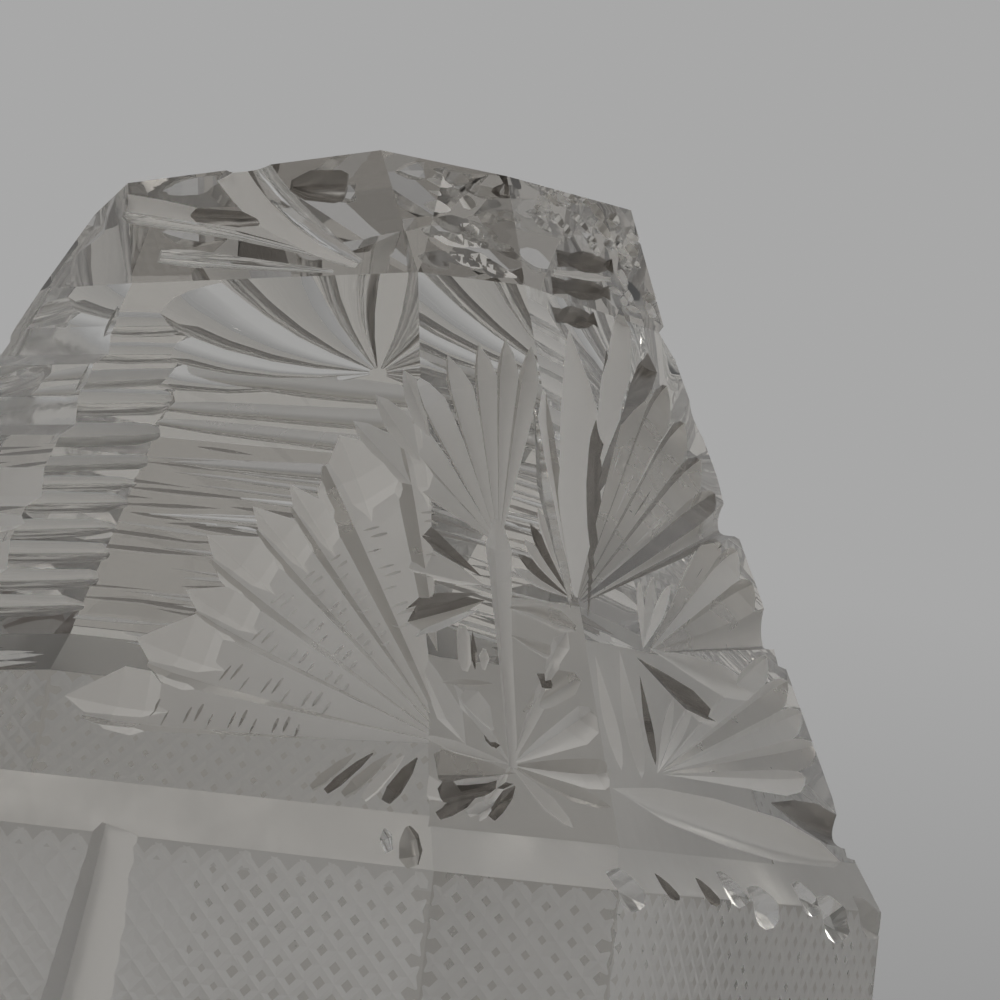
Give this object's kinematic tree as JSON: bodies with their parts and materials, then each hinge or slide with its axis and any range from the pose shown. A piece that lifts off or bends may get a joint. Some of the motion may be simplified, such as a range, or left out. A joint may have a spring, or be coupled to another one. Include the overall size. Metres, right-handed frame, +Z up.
{
  "type": "cut glass decanter",
  "caption": "Square thick-walled cut crystal bottle with a faceted neck and rounded lip, closed by a heavy tapered square stopper whose ground plug lifts straight out.",
  "frame": {"origin": "centre of the flat base that the bottle rests on", "axes": "+Z up along the bottle's and the stopper's shared axis, -Y the front flat, +X the right flat"},
  "size_m": [0.09, 0.09, 0.2764],
  "materials": {
    "bottle_crystal": "polished clear lead crystal, hand cut",
    "stopper_crystal": "polished clear lead crystal, hand cut, with a matt ground plug"
  },
  "bodies": {
    "bottle_body": {"bottle": "bottle_crystal"},
    "stopper_body": {"stopper": "stopper_crystal"}
  },
  "joints": [
    {"name": "stopper_lift", "type": "slide", "parent": "bottle_body", "child": "stopper_body", "axis": [0, 0, 1], "range_m": [0, 0.06]}
  ]
}
